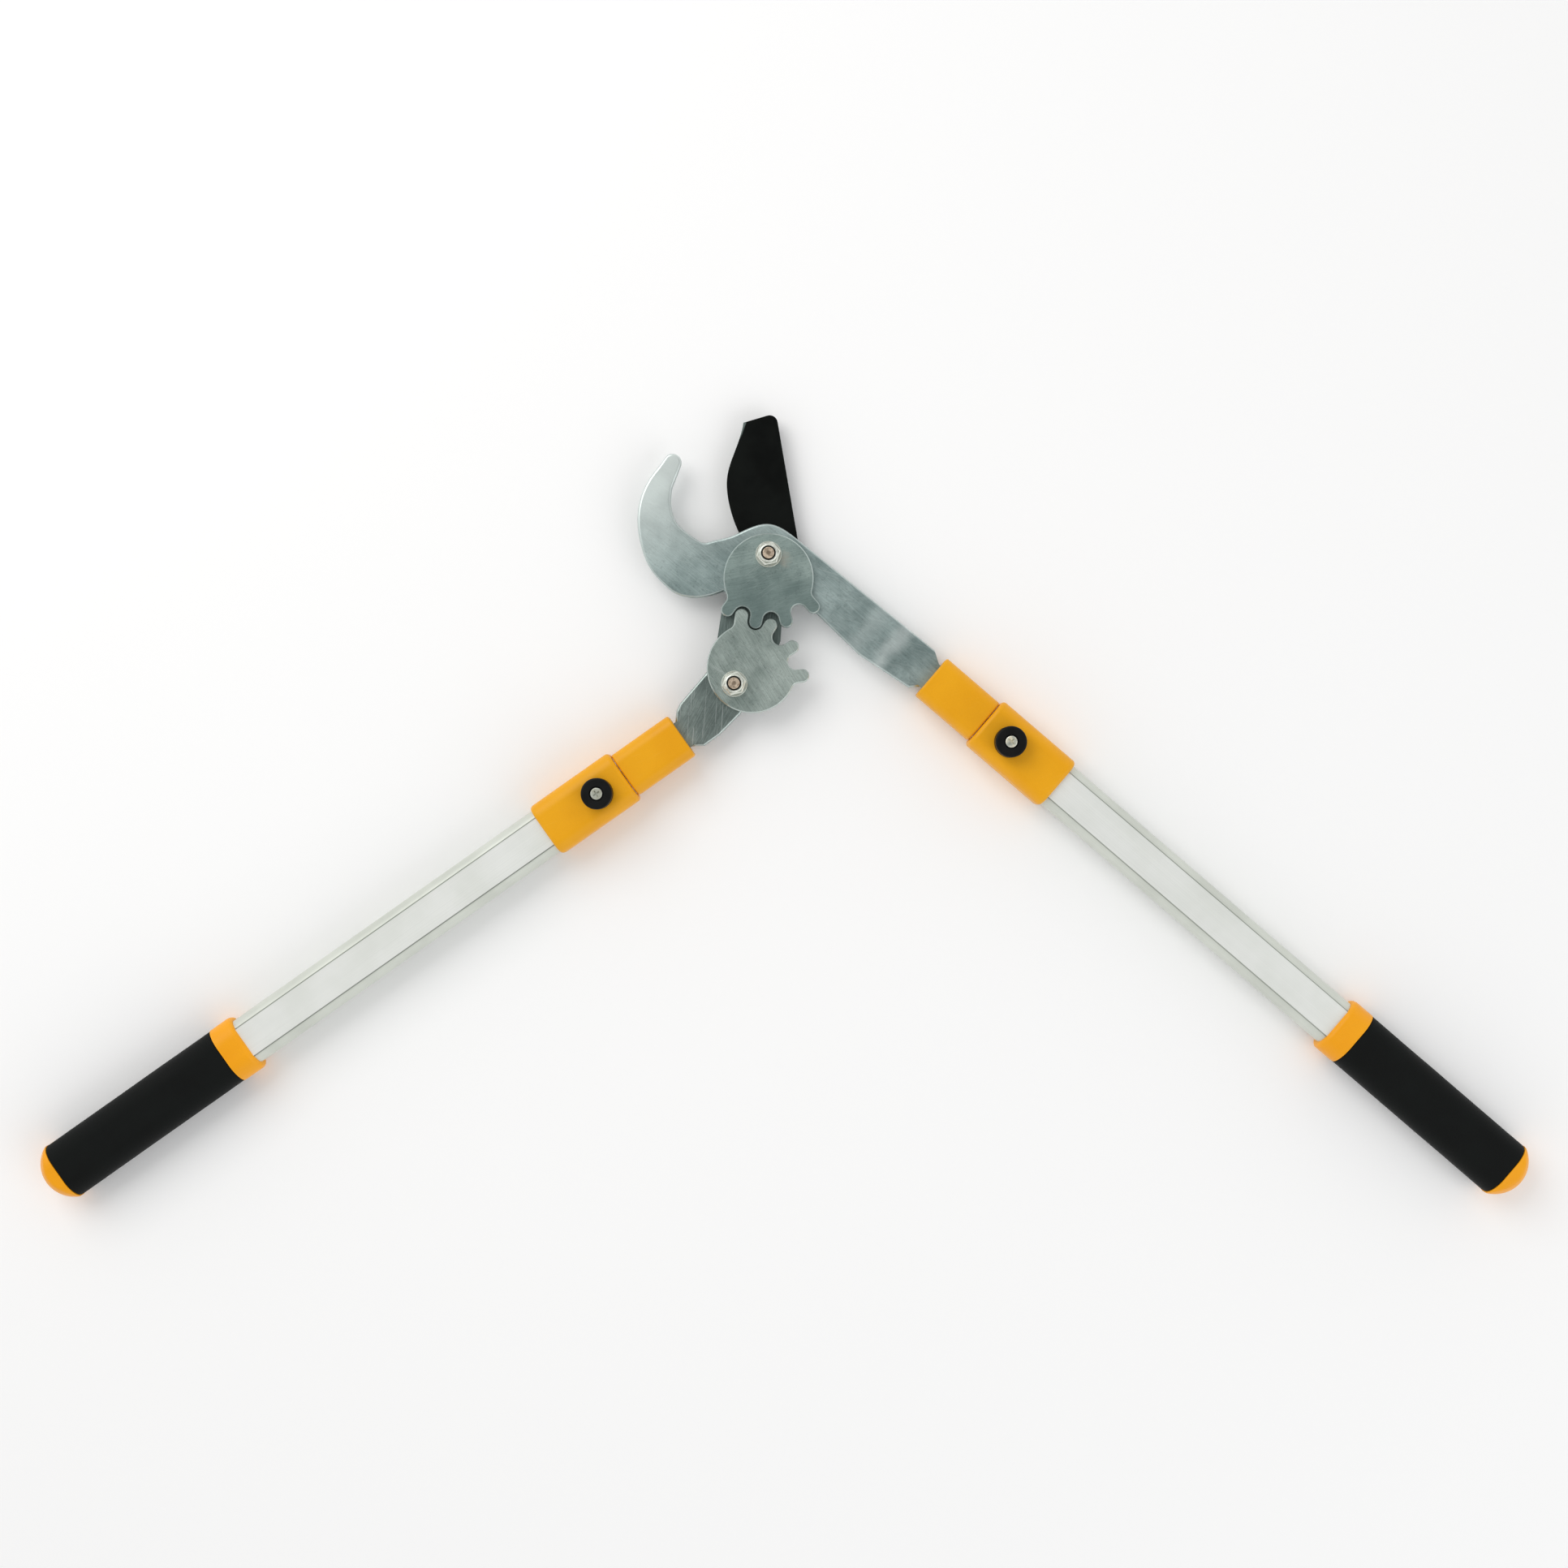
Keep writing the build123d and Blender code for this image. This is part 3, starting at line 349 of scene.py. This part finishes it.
def finish_steel(steel, colour, fine, cloud):
    """Lays the polished edges on a worked steel, their light colour partly a painted highlight, and
    its roughness and bumps.
    """
    # Rounded edges turn lighter: polished steel, and partly a painted highlight.
    edge = steel.times(steel.rim(), EDGE_POLISH_AND_HIGHLIGHT)
    steel.give("Base Color", steel.mix(edge, colour, EDGE_TONE))
    dull = steel.spread(cloud, 0.3, 0.7, STEEL_DULL - CLOUD_DULL, STEEL_DULL + CLOUD_DULL)
    steel.give("Roughness", steel.math("SUBTRACT", dull, steel.times(edge, EDGE_SHINE)))
    steel.dent(fine, 0.012 * MM)
    return steel.material


def hook_steel():
    """Hook plate and right arm: paler towards the hook's tip, with two pale bands on the arm."""
    arm = handles["right"].angle
    steel, colour, *patterns = worked_steel(
        "hook_steel", srgb(170, 186, 184), srgb(132, 151, 149), arm
    )
    pale = steel.spread(steel.direction(HOOK_TIP_WAY), *HOOK_PALE, 0.0, 0.8)
    colour = steel.mix(pale, colour, srgb(226, 234, 231))
    wander = steel.spread(steel.noise(steel.point(), 60, 3), 0.2, 0.8, -BAND_WANDER, BAND_WANDER)
    distance = steel.math("ADD", steel.direction(arm), wander)
    for middle, width, strength in ARM_BANDS:
        band = steel.window(distance, (middle - width, middle), (middle, middle + width))
        colour = steel.mix(steel.times(band, strength), colour, srgb(224, 232, 230))
    return finish_steel(steel, colour, *patterns)


def plain_steel(name, tone, shade, grain, **look):
    """Any other worked plate."""
    return finish_steel(*worked_steel(name, tone, shade, grain, **look))


def upper_gear_steel():
    """Upper gear: darker towards its teeth, with a warm stain beside the nut."""
    steel, colour, *patterns = worked_steel(
        "upper_gear_steel", srgb(166, 182, 177), srgb(132, 151, 147), 12, clouds=0.6
    )
    wander = steel.spread(steel.noise(steel.point(), 90, 3), 0.2, 0.8, -GEAR_WANDER, GEAR_WANDER)
    depth = steel.math("ADD", steel.direction(270), wander)
    dark = steel.spread(depth, *GEAR_DARK, 0.0, 0.55)
    colour = steel.mix(dark, colour, srgb(92, 112, 110))
    stain = steel.math("ADD", steel.radius(STAIN_PLACE), wander)
    warm = steel.spread(stain, 0.0, STAIN_R, 0.5, 0.0)
    colour = steel.mix(warm, colour, srgb(196, 188, 172))
    return finish_steel(steel, colour, *patterns)


def blade_coat():
    """Black non-stick coat, with bare steel on the tail, on the ground bevel and in a worn nick
    beside the tip."""
    coat = Shader("blade_coat", Specular_IOR_Level=0.07)
    cloud = coat.noise(coat.point(), 45, 4, 0.6)
    black = coat.mottled(cloud, srgb(5, 7, 6), srgb(13, 16, 14))
    fine = coat.noise(coat.along(83, 10 * MM, 0.5 * MM), 1.0, 4, 0.7)
    bare = coat.mottled(fine, srgb(98, 112, 109), srgb(136, 149, 145))
    ragged = coat.spread(cloud, 0.3, 0.7, -1 * MM, 1 * MM)
    tail = coat.spread(coat.math("ADD", coat.direction(TAIL_WAY), ragged), *COAT_END, 1.0, 0.0)
    tilt = coat.part_of(coat.coordinate("Normal"), "Z")
    ground = coat.window(tilt, BEVEL_RISE, BEVEL_FALL)
    worn = coat.spread(coat.direction(EDGE_WAY, EDGE_POINT), *NICK_DEPTH)
    near_tip = coat.spread(coat.part_of(coat.point(), "Y"), *NICK_START)
    nick = coat.times(coat.times(worn, near_tip), 0.8)
    metal = coat.math("MAXIMUM", coat.math("MAXIMUM", tail, ground), nick)
    colour = coat.mix(metal, black, bare)
    # Rounded edges are lightened a little towards grey: a painted highlight.
    coat.give("Base Color", coat.mix(coat.times(coat.rim(), 0.15), colour, srgb(120, 124, 122)))
    coat.give("Metallic", metal)
    coat.give("Roughness", coat.spread(cloud, 0.3, 0.7, 0.40, 0.52))
    coat.dent(fine, 0.008 * MM)
    return coat.material


def zinc(name, tone=srgb(232, 235, 226), dull=0.36):
    """Bright zinc plate with faint warm and cool patches, and rounded edges lightened as a painted
    highlight.
    """
    plate = Shader(name, Metallic=1.0)
    patch = plate.noise(plate.point(), 320, 3, 0.6)
    colour = plate.mottled(patch, srgb(196, 200, 188), tone, 0.35, 0.65)
    # Rounded edges lightened: a painted highlight.
    edge = plate.times(plate.rim(), 0.25)
    plate.give("Base Color", plate.mix(edge, colour, srgb(246, 247, 240)))
    plate.give("Roughness", plate.spread(patch, 0.3, 0.7, dull, dull + 0.14))
    plate.dent(plate.noise(plate.point(), 1500, 2), 0.01 * MM)
    return plate.material


def bolt_end(name, centre):
    """Zinc plate, with a bare, warm end: a dark ring round it is painted shade at the thread, and a
    darker middle is painted shade of a dimple.
    """
    bolt = Shader(name, Metallic=1.0)
    patch = bolt.noise(bolt.point(), 600, 3, 0.6)
    radius = bolt.radius(centre)
    plate = bolt.mottled(patch, srgb(176, 178, 168), srgb(222, 224, 216), 0.35, 0.65)
    bare = bolt.mottled(patch, srgb(176, 158, 138), srgb(224, 206, 184))
    # A darker middle: painted shade standing in for a dimple that the mesh lacks.
    bare = bolt.mix(bolt.spread(radius, *DIMPLE_SHADE_R, 0.7, 0.0), bare, srgb(96, 80, 64))
    # A dark ring round the end: painted shade at the thread.
    bare = bolt.mix(bolt.spread(radius, *THREAD_SHADE_R), bare, srgb(42, 42, 38))
    front = bolt.spread(bolt.height(), *BOLT_FRONT)
    bolt.give("Base Color", bolt.mix(front, plate, bare))
    bolt.give("Roughness", bolt.spread(patch, 0.3, 0.7, 0.30, 0.46))
    turning = bolt.math("SINE", bolt.times(radius, TURNING))
    bolt.dent(turning, 0.006 * MM)
    return bolt.material


def drawn_aluminium(side, with_panel):
    """Satin anodised tube with die lines along it. The outer one has painted shade on the rounded
    strips beside its panel and in the panel's two grooves."""
    skin = Shader(f"tube_aluminium_{side}_{'outer' if with_panel else 'inner'}", Metallic=0.3)
    handle = handles[side]
    lines = skin.noise(skin.along(handle.angle, 400 * MM, 0.35 * MM), 1.0, 3, 0.6)
    cloud = skin.noise(skin.point(), 30, 3)
    colour = skin.mottled(cloud, srgb(228, 231, 225), srgb(237, 239, 235))
    if with_panel:
        # The rounded strips beside the panel are painted darker: painted shade.
        shaded_strip = skin.mottled(cloud, srgb(200, 204, 195), srgb(212, 216, 207))
        offset = skin.direction(handle.angle + 90, handle.across * handle.middle)
        outwards = skin.math("SUBTRACT", skin.math("ABSOLUTE", offset), PANEL_HALF)
        colour = skin.mix(skin.spread(outwards, 0.0, GROOVE_W), colour, shaded_strip)
        # Darker in the panel's grooves: painted shade.
        groove = skin.window(outwards, (-GROOVE_SHADE_EDGE, GROOVE_SHADE_EDGE), GROOVE_SHADE)
        colour = skin.mix(skin.times(groove, 0.5), colour, srgb(150, 156, 147))
    colour = skin.lit(colour, skin.spread(lines, 0.25, 0.75, 0.965, 1.025))
    skin.give("Base Color", colour)
    skin.give("Roughness", skin.spread(lines, 0.2, 0.8, 0.34, 0.46))
    skin.dent(lines, 0.005 * MM)
    return skin.material


def plain_wire():
    """Drawn and turned steel of the springs and lock pins."""
    wire = Shader("spring_steel", Metallic=1.0)
    mottle = wire.noise(wire.point(), 900, 3)
    wire.give("Base Color", wire.mix(mottle, srgb(150, 152, 150), srgb(200, 202, 198)))
    wire.give("Roughness", wire.spread(mottle, 0.3, 0.7, 0.28, 0.42))
    wire.dent(mottle, 0.01 * MM)
    return wire.material


# ---------------------------------------------------------------- plastics and foam
SEAM_Z = handles["right"].centre_z  # the mould halves meet at the middle of the handles
SEAM_HALF = 0.15 * MM
SEAM_HEIGHT = 3.0  # in heights of the grain


def orange_plastic(name, tone, shade):
    """Satin moulding with a fine spark-eroded grain, faint flow marks and scuffs, and a seam."""
    shell = Shader(name, Specular_IOR_Level=0.28)
    flow = shell.noise(shell.point(), 26, 3, 0.5)
    colour = shell.mottled(flow, shade, tone, 0.25, 0.75)
    grain = shell.noise(shell.point(), 2600, 2, 0.6)
    colour = shell.lit(colour, shell.spread(grain, 0.3, 0.7, 0.975, 1.025))
    scuff = shell.noise(shell.along(20, 14 * MM, 0.4 * MM), 1.0, 1, 0.4)
    scuff = shell.times(shell.spread(scuff, 0.70, 0.76), 0.06)
    shell.give("Base Color", shell.mix(scuff, colour, srgb(250, 214, 130)))
    shell.give("Roughness", shell.spread(flow, 0.3, 0.7, 0.36, 0.46))
    seam = shell.window(shell.height(), (SEAM_Z - SEAM_HALF, SEAM_Z), (SEAM_Z, SEAM_Z + SEAM_HALF))
    seam = shell.times(seam, SEAM_HEIGHT)
    shell.dent(shell.math("ADD", grain, seam), 0.014 * MM)
    return shell.material


def dark_moulding(name, tone, shade, dull, specular, grain_depth):
    """Black or dark moulded plastic with a fine grain."""
    shell = Shader(name, Specular_IOR_Level=specular)
    flow = shell.noise(shell.point(), 120, 3)
    grain = shell.noise(shell.point(), 2400, 2, 0.6)
    shell.give("Base Color", shell.mottled(flow, shade, tone))
    shell.give("Roughness", shell.spread(flow, 0.3, 0.7, dull, dull + 0.1))
    shell.dent(grain, grain_depth)
    return shell.material


def foam_skin():
    """Closed-cell foam: matt, with tiny cells, their pores darkened by painted shade, and a faint
    sheen where hands have polished it.
    """
    foam = Shader("grip_foam", Specular_IOR_Level=0.1, Sheen_Weight=0.03, Sheen_Roughness=0.5)
    cell = foam.cells(foam.point(), 1500)
    soft = foam.noise(foam.point(), 40, 4, 0.6)
    colour = foam.mottled(soft, srgb(11, 13, 12), srgb(17, 20, 19))
    # Darker pores in the cells: painted shade.
    pore_shade = foam.spread(cell, 0.0, 0.3, 0.5, 0.0)
    foam.give("Base Color", foam.mix(pore_shade, colour, srgb(9, 10, 10)))
    foam.give("Roughness", foam.spread(soft, 0.3, 0.7, 0.62, 0.78))
    foam.dent(cell, 0.05 * MM)
    return foam.material


# ---------------------------------------------------------------- finishes of the CAD nodes
def paint(node, material):
    """Gives a CAD node one material all over."""
    mesh = frame["nodes"][node].data
    mesh.materials.clear()
    mesh.materials.append(material)


bright_zinc = zinc("bright_zinc")
screw_zinc = {
    "left": zinc("left_screw_zinc", srgb(176, 176, 160), 0.42),
    "right": zinc("right_screw_zinc", srgb(234, 228, 204), 0.42),
}
gear_pin_steel = plain_steel("pin_steel", srgb(170, 178, 176), srgb(130, 140, 138), 90)
nylon = dark_moulding("nylon", srgb(52, 56, 54), srgb(34, 38, 36), 0.5, 0.3, 0.01 * MM)
knob_black = dark_moulding(
    "knob_black", srgb(17, 18, 18), srgb(11, 12, 12), 0.42, 0.14, 0.015 * MM
)
body_orange = orange_plastic("body_orange", srgb(237, 168, 8), srgb(230, 159, 5))
trim_orange = orange_plastic("trim_orange", srgb(246, 167, 10), srgb(240, 158, 6))
wire_steel = plain_wire()

finishes = {
    "hook_plate": hook_steel(),
    "left_arm": plain_steel(
        "left_arm_steel", srgb(147, 159, 154), srgb(115, 128, 124), 62, streaks=0.28, scratches=0.4
    ),
    "upper_gear": upper_gear_steel(),
    "lower_gear": plain_steel(
        "lower_gear_steel", srgb(176, 188, 182), srgb(142, 157, 151), -58, streaks=0.22
    ),
    "blade": blade_coat(),
    "pivot_bolt": bolt_end("pivot_bolt_end", main_pivot),
    "lower_bolt": bolt_end("lower_bolt_end", lower_pivot),
    "pivot_back_washer": bright_zinc,
    "pivot_front_washer": zinc("washer_zinc", srgb(186, 192, 184), 0.32),
    "lower_washer": zinc("lower_washer_zinc", srgb(200, 206, 198), 0.32),
    "pivot_nut": bright_zinc,
    "lower_nut": bright_zinc,
    "pivot_nut_insert": nylon,
    "lower_nut_insert": nylon,
    "pivot_bush": gear_pin_steel,
    "lower_bush": gear_pin_steel,
    "upper_gear_dowels": gear_pin_steel,
    "lower_gear_dowels": gear_pin_steel,
}
for side in SIDES:
    finishes[f"{side}_ferrule"] = body_orange
    finishes[f"{side}_sleeve"] = body_orange
    finishes[f"{side}_grip_collar"] = trim_orange
    finishes[f"{side}_end_cap"] = trim_orange
    finishes[f"{side}_tang_rivets"] = bright_zinc
    finishes[f"{side}_sleeve_screws"] = bright_zinc
    finishes[f"{side}_inner_tube"] = drawn_aluminium(side, with_panel=False)
    finishes[f"{side}_outer_tube"] = drawn_aluminium(side, with_panel=True)
    finishes[f"{side}_guide_bush"] = nylon
    finishes[f"{side}_knob"] = knob_black
    finishes[f"{side}_knob_screw"] = screw_zinc[side]
    finishes[f"{side}_lock_pin"] = wire_steel
    finishes[f"{side}_lock_spring"] = wire_steel
for node, material in finishes.items():
    paint(node, material)


# ---------------------------------------------------------------- foam grips
GRIP_CORNER = 12.3 * MM
GRIP_BORE = (15.3 * MM, 11.6 * MM, 8 * MM)  # half width, half height and corner of the hole
GRIP_SEGMENTS = 18  # along each rounded corner
GRIP_STATIONS = 64  # along its length
GRIP_LIP = 1.1 * MM  # rounding of the foam's two ends
LIP_STEPS = 6
GRIP_WAVE = 0.10 * MM  # depth of the unevenness
WAVE_SCALE = 45  # waves to a metre


def rounded_ring(half_width, half_height, corner):
    """Points round a rectangle with rounded corners, with its normals."""
    ring = []
    for quarter, (sx, sy) in enumerate(((1, 1), (-1, 1), (-1, -1), (1, -1))):
        for step in range(GRIP_SEGMENTS + 1):
            angle = math.radians(90 * (quarter + step / GRIP_SEGMENTS))
            normal = (math.cos(angle), math.sin(angle))
            x = sx * (half_width - corner) + corner * normal[0]
            y = sy * (half_height - corner) + corner * normal[1]
            ring.append((x, y, normal))
    return ring


def bridge(mesh, first, second):
    """Faces between two rings of the same number of vertices."""
    count = len(first)
    for i in range(count):
        j = (i + 1) % count
        mesh.faces.new((first[i], first[j], second[j], second[i]))


def foam_grip(side, foam):
    """The foam sleeve, soft at its ends and slightly uneven, with the tube's hole through it."""
    handle = handles[side]
    mesh = bmesh.new()
    outline = rounded_ring(handle.half_width, handle.half_height, GRIP_CORNER)
    bore = rounded_ring(*GRIP_BORE)

    def outer(u, inset):
        """The ring of the outer skin at u, drawn in by the inset."""
        ring = []
        for x, y, normal in outline:
            wave = noise.noise(handle.place(u, x, y) * WAVE_SCALE) * GRIP_WAVE - GRIP_WAVE
            push = wave - inset
            spot = handle.place(u, x + normal[0] * push, y + normal[1] * push)
            ring.append(mesh.verts.new(spot))
        return ring

    lip = []  # each ring's distance from the end, and its inset
    for step in range(LIP_STEPS + 1):
        turn = math.radians(90 * step / LIP_STEPS)
        lip.append((GRIP_LIP * (1 - math.sin(turn)), GRIP_LIP * (1 - math.cos(turn))))
    rings = [outer(handle.start + back, inset) for back, inset in lip]
    rings.reverse()
    body = handle.end - handle.start - 2 * GRIP_LIP
    for step in range(1, GRIP_STATIONS):
        rings.append(outer(handle.start + GRIP_LIP + body * step / GRIP_STATIONS, 0.0))
    rings += [outer(handle.end - back, inset) for back, inset in lip]
    for u in (handle.end, handle.start):
        rings.append([mesh.verts.new(handle.place(u, x, y)) for x, y, normal in bore])
    for first, second in zip(rings, rings[1:] + rings[:1]):
        bridge(mesh, first, second)
    bmesh.ops.recalc_face_normals(mesh, faces=mesh.faces)
    data = bpy.data.meshes.new(f"{side}_foam_grip")
    mesh.to_mesh(data)
    mesh.free()
    data.shade_smooth()
    piece = bpy.data.objects.new(f"{side}_foam_grip", data)
    bpy.context.scene.collection.objects.link(piece)
    data.materials.append(foam)
    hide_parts(f"{side}_grip")
    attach(piece, f"{side}_handle")


grip_foam = foam_skin()
for side in SIDES:
    foam_grip(side, grip_foam)


# ---------------------------------------------------------------- floor
FLOOR_HALF = 4.0
FLOOR_GAP = 0.3 * MM  # below the lowest point of the object
FLOOR_TONE = (0.98, 0.98, 0.98, 1)


def pale_floor():
    """A plain white sheet under the object."""
    paper = Shader("floor_white", Specular_IOR_Level=0.1, Base_Color=FLOOR_TONE, Roughness=0.9)
    low = cad_box[0].z - FLOOR_GAP
    data = bpy.data.meshes.new("floor")
    signs = ((-1, -1), (1, -1), (1, 1), (-1, 1))
    corners = [(x * FLOOR_HALF, y * FLOOR_HALF, low) for x, y in signs]
    data.from_pydata(corners, [], [(0, 1, 2, 3)])
    data.materials.append(paper.material)
    floor = bpy.data.objects.new("floor", data)
    bpy.context.scene.collection.objects.link(floor)


pale_floor()
